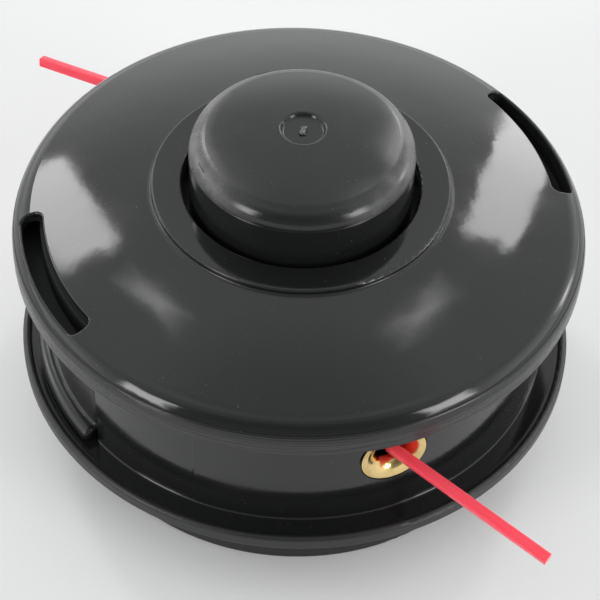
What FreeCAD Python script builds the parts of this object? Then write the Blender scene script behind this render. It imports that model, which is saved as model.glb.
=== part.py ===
import FreeCAD, Part
import math
import os
import Sketcher

# Bump feed trimmer head, standing on its machine side with the bump knob up.
# Millimetres. Z is the drive axis, z = 0 the machine face, X runs through the two latch tabs.

DRIVING_SIZES = {
    # Drum, flange and skirt of the housing
    "drum_radius": 58.5,
    "drum_wall": 2.4,
    "skirt_inset": 4.3,
    "skirt_wall": 2.6,
    "flange_width": 6.7,
    "flange_floor": 21.6,
    "flange_thick": 2.4,
    "lip_round": 1.0,
    "lip_height": 1.2,
    "corner_round": 0.6,
    "foot_round": 0.8,
    "recess_depth": 8.0,
    "floor_thick": 2.6,
    "rib_thick": 2.0,
    "rib_height": 3.2,
    "rib_count": 8,
    # Hub, spindle and drive nut
    "hub_wall": 4.6,
    "hub_lift": 1.0,
    "nut_flats": 17.0,
    "nut_length": 14.0,
    "nut_clearance": 0.05,
    "thread_core": 8.65,
    "thread_lead_in": 1.0,
    "shaft_bore": 5.6,
    "shaft_space": 7.0,
    "web_thick": 3.0,
    "ring_thick": 1.6,
    "ring_bore": 7.0,
    "ring_overlap": 1.2,
    "pocket_step": 0.4,
    "spindle_wall": 2.4,
    "spindle_above_guide": 1.5,
    # Bump stroke and indexing cams
    "bump_stroke": 8.0,
    "cam_inner": 30.0,
    "cam_width": 12.0,
    "cam_pad": 3.4,
    "cam_count": 8,
    "tooth_height": 3.0,
    "tooth_angle": 12.0,
    "mesh_gap": 0.3,
    # Spool and wound line
    "spool_flange": 2.4,
    "middle_flange": 2.0,
    "chamber_height": 13.2,
    "spool_wall": 2.7,
    "spool_edge": 0.8,
    "tab_to_spool": 2.6,
    "guide_thick": 3.0,
    "guide_drop": 5.0,
    "slide_clearance": 0.3,
    "neck_height": 12.0,
    "winding_depth": 15.6,
    "winding_gap": 0.15,
    "winding_rows": 5,
    "row_roundness": 0.6,
    # Feed spring with its two washers
    "spring_wire": 1.8,
    "spring_gap": 2.7,
    "spring_turns": 7.0,
    "spring_side_gap": 2.93,
    "seat_thick": 1.0,
    "thrust_thick": 1.2,
    "washer_margin": 1.9,
    "seat_gap": 0.05,
    # Bump knob
    "knob_wall": 2.4,
    "knob_fit": 0.2,
    "knob_height": 23.2,
    "knob_round": 4.8,
    "knob_crown": 2.3,
    "knob_cap": 3.0,
    "dimple_radius": 5.45,
    "dimple_depth": 0.95,
    "dimple_round": 0.7,
    "gate_radius": 0.9,
    "gate_height": 0.5,
    "bead_depth": 0.5,
    "bead_height": 1.6,
    "bead_rise": 6.0,
    "key_width": 3.0,
    "key_depth": 1.4,
    "key_count": 4,
    # Cover
    "cover_overhang": 6.5,
    "cover_wall": 2.4,
    "cover_rise": 5.2,
    "rim_drop": 14.7,
    "rim_height": 3.2,
    "edge_radius": 6.0,
    "rim_line_turn": 25.0,
    "rim_line_radius": 0.35,
    "knob_gap": 1.6,
    "ring_width": 6.9,
    "ring_step": 1.45,
    "ring_edge": 0.5,
    "ring_foot": 0.4,
    "opening_round": 0.6,
    "collar_depth": 4.0,
    "drum_fit": 0.3,
    "slot_inset": 0.7,
    "slot_width": 4.7,
    "slot_angle": 35.2,
    "slot_corner": 1.9,
    "slot_edge": 0.5,
    "shelf_thick": 1.6,
    "shelf_fit": 0.02,
    "shelf_angle": 56.0,
    # Latch tabs and their windows in the drum
    "window_height": 19.4,
    "window_angle": 35.0,
    "window_corner": 0.7,
    "tab_wall": 2.2,
    "tab_angle": 33.4,
    "tab_lift": 1.2,
    "ledge_reach": 3.0,
    "ledge_height": 2.7,
    "ledge_nose": 2.2,
    "ledge_foot": 0.8,
    "ledge_end": 1.2,
    "latch_inset": 0.4,
    # Line eyelets and line
    "eyelet_angle": -91.8,
    "eyelet_rise": 18.2,
    "eyelet_radius": 7.5,
    "eyelet_throat": 3.4,
    "eyelet_flare": 3.6,
    "eyelet_rim": 1.0,
    "eyelet_body": 5.8,
    "eyelet_tail": 2.0,
    "eyelet_inset": 0.1,
    "eyelet_fit": 0.05,
    "eyelet_rim_gap": 0.4,
    "line_width": 2.4,
    "line_corner": 0.4,
}

# Free line ends, lying on the flank of their eyelets: turn from the eyelet's axis, droop below level,
# roll of the square section, free length, and where the line lies beside and below the middle of the throat
LINE_ENDS = {
    "line_end_front": {"side": 0, "turn": 31.6, "droop": 7.2, "roll": 17.0, "length": 41.9,
                       "beside": 0.4, "below": 1.2},
    "line_end_rear": {"side": 180, "turn": 39.6, "droop": 4.8, "roll": 12.0, "length": 55.1,
                      "beside": 0.0, "below": 1.0},
}

# Two lengths that differ by less than this are taken as the same
SAME_WITHIN = 0.01

doc = FreeCAD.newDocument("trimmer_head")
sheet = doc.addObject("Spreadsheet::Sheet", "Sizes")
for row, (size_name, size_value) in enumerate(DRIVING_SIZES.items(), start=1):
    sheet.set("A%d" % row, size_name)
    sheet.set("B%d" % row, str(size_value))
    sheet.setAlias("B%d" % row, size_name)
doc.recompute()


class Size:
    """A number together with the sheet formula that gives it."""

    def __init__(self, value, formula):
        self.value = value
        self.formula = formula

    def __add__(self, other):
        other = as_size(other)
        return Size(self.value + other.value, "(%s + %s)" % (self.formula, other.formula))

    def __sub__(self, other):
        other = as_size(other)
        return Size(self.value - other.value, "(%s - %s)" % (self.formula, other.formula))

    def __mul__(self, other):
        other = as_size(other)
        return Size(self.value * other.value, "(%s * %s)" % (self.formula, other.formula))

    def __truediv__(self, other):
        other = as_size(other)
        return Size(self.value / other.value, "(%s / %s)" % (self.formula, other.formula))

    def __neg__(self):
        return Size(-self.value, "(0 - %s)" % self.formula)


def as_size(number):
    """A plain number as a Size."""
    if isinstance(number, Size):
        return number
    return Size(float(number), repr(float(number)))


def sheet_size(name):
    """The Size held in the sheet's cell of that name."""
    return Size(float(sheet.get(name)), "Sizes." + name)


def kept(name, size):
    """Keep a worked-out size in the sheet under its own name."""
    row = len(sheet.getUsedCells()) // 2 + 1
    sheet.set("A%d" % row, name)
    sheet.set("B%d" % row, "=" + size.formula.replace("Sizes.", ""))
    sheet.setAlias("B%d" % row, name)
    return Size(size.value, "Sizes." + name)


def squared(size):
    return size * size


def cosine(angle):
    return Size(math.cos(math.radians(angle.value)), "cos(%s * 1 deg)" % angle.formula)


def sine(angle):
    return Size(math.sin(math.radians(angle.value)), "sin(%s * 1 deg)" % angle.formula)


def arcsine(size):
    return Size(math.degrees(math.asin(size.value)), "(asin(%s) / 1 deg)" % size.formula)


def root(size):
    return Size(math.sqrt(size.value), "sqrt(%s)" % size.formula)


class Named:
    """The driving sizes by name."""


s = Named()
for size_name in DRIVING_SIZES:
    setattr(s, size_name, sheet_size(size_name))

ZERO = as_size(0)

# Radii outwards from the axis
nut_corner = s.nut_flats / 2 / cosine(as_size(30))
nut_pocket = nut_corner + s.nut_clearance
ring_radius = nut_pocket + s.ring_overlap
hub_radius = nut_pocket + s.hub_wall
spindle_radius = nut_pocket + s.spindle_wall
spindle_bore = nut_pocket - s.pocket_step
guide_bore = spindle_radius + s.slide_clearance
spring_inner = spindle_radius + s.spring_gap
spring_outer = spring_inner + s.spring_wire
spool_bore = spring_outer + s.spring_side_gap
core_radius = spool_bore + s.spool_wall
knob_inner = core_radius + s.knob_fit
knob_radius = knob_inner + s.knob_wall
opening_radius = knob_radius + s.knob_gap
ring_step_radius = opening_radius + s.ring_width
cam_outer = s.cam_inner + s.cam_width
winding_radius = core_radius + s.winding_depth

# Radii inwards and outwards from the drum
drum_inner = s.drum_radius - s.drum_wall
skirt_radius = s.drum_radius - s.skirt_inset
skirt_inner = skirt_radius - s.skirt_wall
flange_radius = s.drum_radius + s.flange_width
cover_radius = s.drum_radius + s.cover_overhang
slot_inner = s.drum_radius - s.slot_inset
slot_outer = slot_inner + s.slot_width
tab_outer = drum_inner - s.drum_fit
tab_inner = tab_outer - s.tab_wall
spool_radius = tab_inner - s.tab_to_spool

# Heights upwards from the machine face, with the knob at rest
floor_top = s.recess_depth + s.floor_thick
ring_top = s.hub_lift + s.ring_thick
nut_top = ring_top + s.nut_length
web_low = nut_top + s.shaft_space
web_high = web_low + s.web_thick
cam_face = floor_top + s.cam_pad
lower_flange_low = cam_face + s.tooth_height + s.mesh_gap + s.bump_stroke
lower_flange_high = lower_flange_low + s.spool_flange
middle_low = lower_flange_high + s.chamber_height
middle_high = middle_low + s.middle_flange
upper_flange_low = middle_high + s.chamber_height
upper_flange_high = upper_flange_low + s.spool_flange
cover_cam_face = upper_flange_high + s.tooth_height + s.mesh_gap
cover_top = cover_cam_face + s.cover_rise
rim_bottom = cover_top - s.rim_drop
rim_top = rim_bottom + s.rim_height
guide_low = upper_flange_high - s.guide_drop
guide_high = guide_low + s.guide_thick
spindle_top = guide_high + s.spindle_above_guide
neck_top = upper_flange_high + s.neck_height
knob_low = upper_flange_high + s.mesh_gap
knob_shoulder = knob_low + s.knob_height
lip_top = s.flange_floor + s.lip_height
window_top = s.flange_floor + s.window_height
eyelet_z = s.flange_floor + s.eyelet_rise
seat_top = floor_top + s.seat_gap + s.seat_thick
thrust_low = guide_low - s.seat_gap - s.thrust_thick

# Cover dome: a sphere about the axis from the ring step outwards, tangent to the arc of the cover's edge
edge_centre = cover_radius - s.edge_radius
dome_rise = cover_top - rim_top
spread = kept("spread", squared(ring_step_radius) - squared(edge_centre)
              + squared(dome_rise) + squared(s.edge_radius))
square_term = kept("square_term", squared(dome_rise) - squared(s.edge_radius))
plain_term = kept("plain_term", dome_rise * (spread - squared(s.edge_radius) * 2))
fixed_term = kept("fixed_term", squared(spread) / 4
                  - squared(s.edge_radius) * (squared(ring_step_radius) + squared(dome_rise)))
dome_depth = kept("dome_depth", (root(squared(plain_term) - square_term * fixed_term * 4) - plain_term)
                  / (square_term * 2))
dome_radius = kept("dome_radius", (spread + dome_depth * dome_rise * 2) / (s.edge_radius * 2))
dome_z = kept("dome_z", rim_top - dome_depth)
edge_x = kept("edge_x", edge_centre * dome_radius / (dome_radius - s.edge_radius))
edge_z = kept("edge_z", dome_z + dome_depth * dome_radius / (dome_radius - s.edge_radius))
inner_dome = dome_radius - s.cover_wall


def over_dome(radius):
    """Height of the cover's outside at a radius."""
    return dome_z + root(squared(dome_radius) - squared(radius))


def under_dome(radius):
    """Height of the cover's underside at a radius."""
    return dome_z + root(squared(inner_dome) - squared(radius))


drum_top = kept("drum_top", under_dome(s.drum_radius) - s.seat_gap)

# Crown of the knob: a sphere about the axis, tangent to the arc of the knob's rounded edge
shoulder_radius = knob_radius - s.knob_round
crown_radius = kept("crown_radius", (squared(shoulder_radius) + squared(s.knob_crown)) / (s.knob_crown * 2))
crown_z = kept("crown_z", knob_shoulder + s.knob_crown - crown_radius)
round_reach = crown_radius - s.knob_round
round_rise = kept("round_rise", root(squared(round_reach) - squared(shoulder_radius)))
round_x = kept("round_x", shoulder_radius * crown_radius / round_reach)
round_z = kept("round_z", crown_z + round_rise * crown_radius / round_reach)
dimple_top = kept("dimple_top", crown_z + root(squared(crown_radius) - squared(s.dimple_radius)))

# Dimple of the knob: an arc that leaves the crown smoothly meets an arc that ends on the dimple's floor
dimple_floor = kept("dimple_floor", dimple_top - s.dimple_depth)
rim_share = (crown_radius - s.dimple_round) / crown_radius
rim_x = kept("rim_x", s.dimple_radius * rim_share)
rim_z = kept("rim_z", crown_z + (dimple_top - crown_z) * rim_share)
floor_arc_z = dimple_floor + s.dimple_round
floor_arc_x = kept("floor_arc_x", rim_x - root(squared(s.dimple_round * 2) - squared(floor_arc_z - rim_z)))
half_pitch = as_size(180) / s.cam_count


def bind(thing, prop, size):
    """Tie a property to the sheet."""
    thing.setExpression(prop, size.formula)


def new_body(label):
    body = doc.addObject("PartDesign::Body", label)
    body.Label = label
    return body


def origin_part(body, role):
    """One of the body's own origin planes or axes."""
    for feature in body.Origin.OriginFeatures:
        if feature.Role == role:
            return feature


def new_sketch(body, name, plane="XZ_Plane", turn=None, lift=None):
    """A sketch on an origin plane, turned about Z or lifted along it."""
    sketch = body.newObject("Sketcher::SketchObject", name)
    sketch.AttachmentSupport = [(origin_part(body, plane), "")]
    sketch.MapMode = "FlatFace"
    up_in_sketch = FreeCAD.Vector(0, 1, 0) if plane == "XZ_Plane" else FreeCAD.Vector(0, 0, 1)
    if turn is not None:
        sketch.AttachmentOffset = FreeCAD.Placement(
            FreeCAD.Vector(), FreeCAD.Rotation(up_in_sketch, turn.value))
        bind(sketch, ".AttachmentOffset.Rotation.Angle", turn)
    if lift is not None:
        bind(sketch, ".AttachmentOffset.Base.z", lift)
    return sketch


def arc_between(start, end, radius, side):
    """The shorter arc from start to end, its centre on the left (1) or right (-1) of the way."""
    middle = (start + end) / 2
    along = end - start
    left = FreeCAD.Vector(-along.y, along.x, 0).normalize()
    centre = middle + left * side * math.sqrt(radius ** 2 - (along.Length / 2) ** 2)
    first, last = (start, end) if side > 0 else (end, start)
    angles = [math.atan2(p.y - centre.y, p.x - centre.x) for p in (first, last)]
    circle = Part.Circle(centre, FreeCAD.Vector(0, 0, 1), radius)
    return Part.ArcOfCircle(circle, angles[0], angles[1])


def fix_along(sketch, kind, axis, edge, end, size):
    """Hold one coordinate of a corner to its size."""
    if size is ZERO:
        sketch.addConstraint(Sketcher.Constraint("PointOnObject", edge, end, axis))
        return
    index = sketch.addConstraint(Sketcher.Constraint(kind, -1, 1, edge, end, size.value))
    bind(sketch, "Constraints[%d]" % index, size)


def outline(sketch, corners):
    """A closed outline. A corner is (x, y), or (x, y, radius, side) where an arc leads to the next."""
    ends = []
    for place, corner in enumerate(corners):
        following = corners[(place + 1) % len(corners)]
        start = FreeCAD.Vector(corner[0].value, corner[1].value, 0)
        finish = FreeCAD.Vector(following[0].value, following[1].value, 0)
        if len(corner) == 2:
            edge = sketch.addGeometry(Part.LineSegment(start, finish), False)
            ends.append((edge, 1, 2))
        else:
            radius, side = corner[2:]
            edge = sketch.addGeometry(arc_between(start, finish, radius.value, side), False)
            ends.append((edge, 1, 2) if side > 0 else (edge, 2, 1))
    for place, corner in enumerate(corners):
        edge, first, last = ends[place]
        next_edge, next_first, _ = ends[(place + 1) % len(corners)]
        sketch.addConstraint(Sketcher.Constraint("Coincident", edge, last, next_edge, next_first))
        fix_along(sketch, "DistanceX", -2, edge, first, corner[0])
        fix_along(sketch, "DistanceY", -1, edge, first, corner[1])
        if len(corner) == 4:
            index = sketch.addConstraint(Sketcher.Constraint("Radius", edge, corner[2].value))
            bind(sketch, "Constraints[%d]" % index, corner[2])


def at_angle(radius, angle):
    """A point at a radius and an angle from X."""
    return (radius * cosine(angle), radius * sine(angle))


def ring_sector(inner, outer, sweep, corner):
    """Outline of a ring sector centred on X, with rounded corners."""
    half = sweep / 2
    inner_turn = half - arcsine(corner / (inner + corner))
    outer_turn = half - arcsine(corner / (outer - corner))
    inner_side = root(squared(inner + corner) - squared(corner))
    outer_side = root(squared(outer - corner) - squared(corner))
    return [
        at_angle(inner, inner_turn) + (inner, -1), at_angle(inner, -inner_turn) + (corner, 1),
        at_angle(inner_side, -half), at_angle(outer_side, -half) + (corner, 1),
        at_angle(outer, -outer_turn) + (outer, 1), at_angle(outer, outer_turn) + (corner, 1),
        at_angle(outer_side, half), at_angle(inner_side, half) + (corner, 1)]


def rectangle(left, low, right, high):
    return [(left, low), (right, low), (right, high), (left, high)]


def turned(body, kind, name, corners, sweep=None, turn=None):
    """Turn an outline about Z: all the way round, or through a sweep centred on the turn."""
    sketch = new_sketch(body, name + "_outline", turn=turn)
    outline(sketch, corners)
    feature = body.newObject("PartDesign::" + kind, name)
    feature.Profile = sketch
    feature.ReferenceAxis = (sketch, ["V_Axis"])
    if sweep is not None:
        feature.Midplane = True
        bind(feature, "Angle", sweep)
    body.Tip = feature
    return feature


def bored(body, name, corners, angle, lift):
    """Cut a stepped round hole whose axis points outwards from Z at an angle."""
    sketch = new_sketch(body, name + "_outline", plane="XY_Plane", turn=angle, lift=lift)
    outline(sketch, corners)
    feature = body.newObject("PartDesign::Groove", name)
    feature.Profile = sketch
    feature.ReferenceAxis = (sketch, ["H_Axis"])
    body.Tip = feature
    return feature


def padded(body, kind, name, corners, lift, depth, upwards):
    """Pad or pocket an outline drawn at a height."""
    sketch = new_sketch(body, name + "_outline", plane="XY_Plane", lift=lift)
    outline(sketch, corners)
    feature = body.newObject("PartDesign::" + kind, name)
    feature.Profile = sketch
    bind(feature, "Length", depth)
    feature.Reversed = upwards if kind == "Pocket" else not upwards
    body.Tip = feature
    return feature


def around(body, name, feature, count):
    """Repeat a feature round Z."""
    pattern = body.newObject("PartDesign::PolarPattern", name)
    pattern.Originals = [feature]
    pattern.Axis = (origin_part(body, "Z_Axis"), [""])
    pattern.Angle = 360
    bind(pattern, "Occurrences", as_size(count))
    body.Tip = pattern
    return pattern


def rounded(body, name, size, wanted):
    """Fillet the edges of the body so far that a test picks out."""
    doc.recompute()
    base = body.Tip
    names = ["Edge%d" % number for number, edge in enumerate(base.Shape.Edges, start=1) if wanted(edge)]
    fillet = body.newObject("PartDesign::Fillet", name)
    fillet.Base = (base, names)
    bind(fillet, "Radius", size)
    body.Tip = fillet
    return fillet


def near(number, size):
    return abs(number - size.value) < SAME_WITHIN


def is_level_line(edge, height):
    """Whether an edge is a straight line lying at a height."""
    level = near(edge.BoundBox.ZMin, height) and near(edge.BoundBox.ZMax, height)
    return level and isinstance(edge.Curve, Part.Line)


def hexagon(corner):
    """Corners of a hexagon with one corner on X."""
    half = corner / 2
    side = corner * cosine(as_size(30))
    return [(corner, ZERO), (half, side), (-half, side), (-corner, ZERO), (-half, -side), (half, -side)]


def cam_teeth(body, name, low, high, turn):
    """A ring of blunt cam teeth."""
    tooth = turned(body, "Revolution", name, rectangle(s.cam_inner, low, cam_outer, high),
                   sweep=s.tooth_angle, turn=turn)
    return around(body, name + "_ring", tooth, s.cam_count)


def ring(label, inner, outer, low, thick):
    """A flat washer."""
    solids = []
    for part_name, radius in (("outer", outer), ("bore", inner)):
        cylinder = doc.addObject("Part::Cylinder", "%s_%s" % (label, part_name))
        bind(cylinder, "Radius", radius)
        bind(cylinder, "Height", thick)
        bind(cylinder, ".Placement.Base.z", low)
        solids.append(cylinder)
    washer = doc.addObject("Part::Cut", label)
    washer.Base, washer.Tool = solids
    washer.Label = label
    return washer


def make_housing():
    """Drum, flange, skirt, floor and spindle, moulded in one piece."""
    body = new_body("housing")
    lip_inner = flange_radius - s.lip_round * 2
    lip_side = lip_top - s.lip_round
    flange_under = s.flange_floor - s.flange_thick
    turned(body, "Revolution", "housing_shell", [
        (ZERO, web_low), (s.shaft_bore, web_low), (s.shaft_bore, ring_top),
        (ring_radius + s.nut_clearance, ring_top), (ring_radius + s.nut_clearance, s.hub_lift),
        (hub_radius, s.hub_lift), (hub_radius, s.recess_depth), (skirt_inner, s.recess_depth),
        (skirt_inner, ZERO), (skirt_radius - s.foot_round, ZERO, s.foot_round, 1),
        (skirt_radius, s.foot_round), (skirt_radius, flange_under),
        (flange_radius - s.corner_round, flange_under, s.corner_round, 1),
        (flange_radius, flange_under + s.corner_round), (flange_radius, lip_side, s.lip_round, 1),
        (flange_radius - s.lip_round, lip_top, s.lip_round, 1), (lip_inner, lip_side),
        (lip_inner, s.flange_floor), (s.drum_radius + s.corner_round, s.flange_floor, s.corner_round, -1),
        (s.drum_radius, s.flange_floor + s.corner_round), (s.drum_radius, drum_top),
        (drum_inner, drum_top), (drum_inner, s.flange_floor), (skirt_inner, s.flange_floor),
        (skirt_inner, floor_top), (cam_outer, floor_top), (cam_outer, cam_face), (s.cam_inner, cam_face),
        (s.cam_inner, floor_top), (spindle_radius, floor_top), (spindle_radius, spindle_top),
        (spindle_bore, spindle_top), (spindle_bore, web_high), (ZERO, web_high)])
    rib_reach = s.skirt_wall / 2
    rib = padded(body, "Pad", "rib", rectangle(
        hub_radius - rib_reach, -s.rib_thick / 2, skirt_inner + rib_reach, s.rib_thick / 2),
        s.recess_depth - s.rib_height, s.rib_height + s.floor_thick / 2, True)
    around(body, "ribs", rib, s.rib_count)
    padded(body, "Pocket", "nut_pocket", hexagon(nut_pocket), ring_top, s.nut_length, True)
    cam_teeth(body, "lower_tooth", cam_face - s.cam_pad / 2, cam_face + s.tooth_height, half_pitch)
    window = turned(body, "Groove", "window", rectangle(
        drum_inner - s.drum_wall, s.flange_floor, s.drum_radius + s.corner_round * 2, window_top),
        sweep=s.window_angle)
    around(body, "windows", window, 2)
    rounded(body, "window_corners", s.window_corner, lambda edge: is_level_line(edge, window_top))
    rim_seat = s.drum_radius - s.eyelet_inset - s.eyelet_rim
    hole = s.eyelet_body + s.eyelet_fit
    seat = s.eyelet_radius + s.eyelet_rim_gap
    eyelet_hole = bored(body, "eyelet_hole", [
        (drum_inner - s.drum_wall, ZERO), (s.drum_radius + s.drum_wall, ZERO),
        (s.drum_radius + s.drum_wall, seat), (rim_seat, seat), (rim_seat, hole),
        (drum_inner - s.drum_wall, hole)], s.eyelet_angle, eyelet_z)
    around(body, "eyelet_holes", eyelet_hole, 2)
    return body


def is_slot_edge(edge):
    """Whether an edge runs along the mouth of a slot, on the outside of the cover."""
    for vertex in edge.Vertexes:
        radius = math.hypot(vertex.X, vertex.Y)
        on_dome = near(math.hypot(radius, vertex.Z - dome_z.value), dome_radius)
        on_edge = near(math.hypot(radius - edge_centre.value, vertex.Z - rim_top.value), s.edge_radius)
        within = slot_inner.value - SAME_WITHIN < radius < slot_outer.value + SAME_WITHIN
        if not within or not (on_dome or on_edge):
            return False
    beside_x = abs(math.degrees(math.atan2(edge.CenterOfMass.y, abs(edge.CenterOfMass.x))))
    return beside_x < s.slot_angle.value


def is_ledge_end(edge):
    """Whether an edge runs along an end of a latch tab's ledge, on the outside of the tab."""
    for point in [vertex.Point for vertex in edge.Vertexes] + [edge.CenterOfMass]:
        radius = math.hypot(point.x, point.y)
        beside_x = math.degrees(math.atan2(abs(point.y), abs(point.x)))
        at_end = near(radius * math.radians(beside_x - s.tab_angle.value / 2), ZERO)
        outside = radius > s.drum_radius.value - s.latch_inset.value - SAME_WITHIN
        if not at_end or not outside or point.z > window_top.value:
            return False
    return True


def make_cover():
    """Domed cover with its collar, cam ring and two spring latch tabs, moulded in one piece."""
    body = new_body("cover")
    inner_edge = s.edge_radius - s.cover_wall
    inner_edge_x = edge_x * inner_dome / dome_radius
    inner_edge_z = dome_z + (edge_z - dome_z) * inner_dome / dome_radius
    collar_low = drum_top - s.collar_depth
    step_top = cover_top + s.ring_step
    foot_radius = ring_step_radius + s.ring_foot
    foot_low = over_dome(foot_radius)
    thin_under = step_top - s.cover_wall
    pad_inner = (opening_radius + s.cam_inner) / 2
    turned(body, "Revolution", "cover_shell", [
        (opening_radius, thin_under), (opening_radius, step_top - s.opening_round, s.opening_round, -1),
        (opening_radius + s.opening_round, step_top),
        (ring_step_radius - s.ring_edge, step_top, s.ring_edge, -1),
        (ring_step_radius, step_top - s.ring_edge),
        (ring_step_radius, foot_low + s.ring_foot, s.ring_foot, 1),
        (foot_radius, foot_low, dome_radius, -1), (edge_x, edge_z, s.edge_radius, -1),
        (cover_radius, rim_top), (cover_radius, rim_bottom), (cover_radius - s.cover_wall, rim_bottom),
        (cover_radius - s.cover_wall, rim_top, inner_edge, 1), (inner_edge_x, inner_edge_z, inner_dome, 1),
        (tab_outer, under_dome(tab_outer)), (tab_outer, collar_low), (tab_inner, collar_low),
        (tab_inner, cover_cam_face), (pad_inner, cover_cam_face), (pad_inner, thin_under)])
    rim_line_x = cover_radius - s.edge_radius * (as_size(1) - cosine(s.rim_line_turn))
    rim_line_z = rim_top + s.edge_radius * sine(s.rim_line_turn)
    line_half = s.rim_line_radius
    turned(body, "Groove", "rim_line", [
        (rim_line_x - line_half, rim_line_z), (rim_line_x + line_half, rim_line_z - line_half),
        (rim_line_x + line_half, rim_line_z + line_half)])
    slot = padded(body, "Pocket", "slot", ring_sector(
        slot_inner, slot_outer, s.slot_angle, s.slot_corner), rim_top, cover_top - rim_top, True)
    around(body, "slots", slot, 2)
    rounded(body, "slot_edges", s.slot_edge, is_slot_edge)
    shelf = turned(body, "Revolution", "slot_shelf", rectangle(
        s.drum_radius + s.shelf_fit, rim_bottom, cover_radius - s.cover_wall / 2, rim_bottom + s.shelf_thick),
        sweep=s.shelf_angle)
    around(body, "slot_shelves", shelf, 2)
    tab_low = s.flange_floor + s.tab_lift
    ledge_out = s.drum_radius + s.ledge_reach
    latch_out = s.drum_radius - s.latch_inset
    ledge_top = tab_low + s.ledge_height
    tab = turned(body, "Revolution", "latch_tab", [
        (tab_inner, tab_low), (ledge_out, tab_low), (ledge_out, ledge_top - s.ledge_nose, s.ledge_nose, 1),
        (ledge_out - s.ledge_nose, ledge_top), (latch_out + s.ledge_foot, ledge_top, s.ledge_foot, -1),
        (latch_out, ledge_top + s.ledge_foot), (latch_out, window_top - s.drum_fit),
        (tab_outer, window_top - s.drum_fit), (tab_outer, drum_top), (tab_inner, drum_top)],
        sweep=s.tab_angle)
    around(body, "latch_tabs", tab, 2)
    rounded(body, "ledge_ends", s.ledge_end, is_ledge_end)
    cam_teeth(body, "upper_tooth", cover_cam_face - s.tooth_height,
              cover_cam_face + s.cover_wall / 2, half_pitch)
    return body


def make_spool():
    """Two-chamber spool with guide bore, knob neck and cam dogs on both flanges."""
    body = new_body("spool")
    edge = s.spool_edge
    turned(body, "Revolution", "spool_shell", [
        (spool_bore, lower_flange_low), (spool_radius - edge, lower_flange_low, edge, 1),
        (spool_radius, lower_flange_low + edge), (spool_radius, lower_flange_high),
        (core_radius, lower_flange_high), (core_radius, middle_low), (spool_radius, middle_low),
        (spool_radius, middle_high), (core_radius, middle_high), (core_radius, upper_flange_low),
        (spool_radius, upper_flange_low), (spool_radius, upper_flange_high - edge, edge, 1),
        (spool_radius - edge, upper_flange_high), (core_radius, upper_flange_high),
        (core_radius, upper_flange_high + s.bead_rise),
        (core_radius - s.bead_depth, upper_flange_high + s.bead_rise),
        (core_radius - s.bead_depth, upper_flange_high + s.bead_rise + s.bead_height),
        (core_radius, upper_flange_high + s.bead_rise + s.bead_height), (core_radius, neck_top),
        (spool_bore, neck_top), (spool_bore, guide_high), (guide_bore, guide_high),
        (guide_bore, guide_low), (spool_bore, guide_low)])
    key_slot = padded(body, "Pocket", "key_slot", rectangle(
        core_radius - s.key_depth - s.knob_fit, -s.key_width / 2 - s.knob_fit,
        knob_radius, s.key_width / 2 + s.knob_fit),
        upper_flange_high + s.bead_rise + s.bead_height, s.neck_height, True)
    around(body, "key_slots", key_slot, s.key_count)
    cam_teeth(body, "upper_dog", upper_flange_high - s.spool_flange / 2,
              upper_flange_high + s.tooth_height, ZERO)
    cam_teeth(body, "lower_dog", lower_flange_low - s.tooth_height,
              lower_flange_low + s.spool_flange / 2, half_pitch)
    return body


def make_knob():
    """Cup-shaped bump knob with a dimple and the mark of its moulding gate."""
    body = new_body("bump_knob")
    cap_under = knob_shoulder - s.knob_cap
    bead_low = upper_flange_high + s.bead_rise + s.knob_fit
    bead_mid = bead_low + (s.bead_height - s.knob_fit * 2) / 2
    bead_high = bead_low + s.bead_height - s.knob_fit * 2
    turned(body, "Revolution", "knob_shell", [
        (ZERO, dimple_floor + s.gate_height), (ZERO, cap_under), (knob_inner, cap_under),
        (knob_inner, bead_high), (knob_inner - s.bead_depth, bead_mid), (knob_inner, bead_low),
        (knob_inner, knob_low),
        (knob_radius, knob_low), (knob_radius, crown_z + round_rise, s.knob_round, 1),
        (round_x, round_z, crown_radius, 1), (s.dimple_radius, dimple_top, s.dimple_round, 1),
        ((rim_x + floor_arc_x) / 2, (rim_z + floor_arc_z) / 2, s.dimple_round, -1),
        (floor_arc_x, dimple_floor), (s.gate_radius, dimple_floor),
        (s.gate_radius, dimple_floor + s.gate_height)])
    key_low = upper_flange_high + s.bead_rise + s.bead_height + s.mesh_gap
    key = padded(body, "Pad", "key", rectangle(
        core_radius - s.key_depth, -s.key_width / 2, knob_inner + s.knob_wall / 2, s.key_width / 2),
        key_low, cap_under + s.knob_cap / 2 - key_low, True)
    around(body, "keys", key, s.key_count)
    return body


def make_winding(label, low, high):
    """The line wound in one chamber, its outer turns showing as rows."""
    body = new_body(label)
    inner = core_radius + s.winding_gap
    bottom = low + s.winding_gap
    top = high - s.winding_gap
    row_height = (top - bottom) / s.winding_rows
    row_radius = row_height * s.row_roundness
    corners = [(inner, top), (inner, bottom)]
    for row in range(int(s.winding_rows.value)):
        corners.append((winding_radius, bottom + row_height * row, row_radius, 1))
    corners.append((winding_radius, top))
    turned(body, "Revolution", label + "_turns", corners)
    return body


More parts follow.
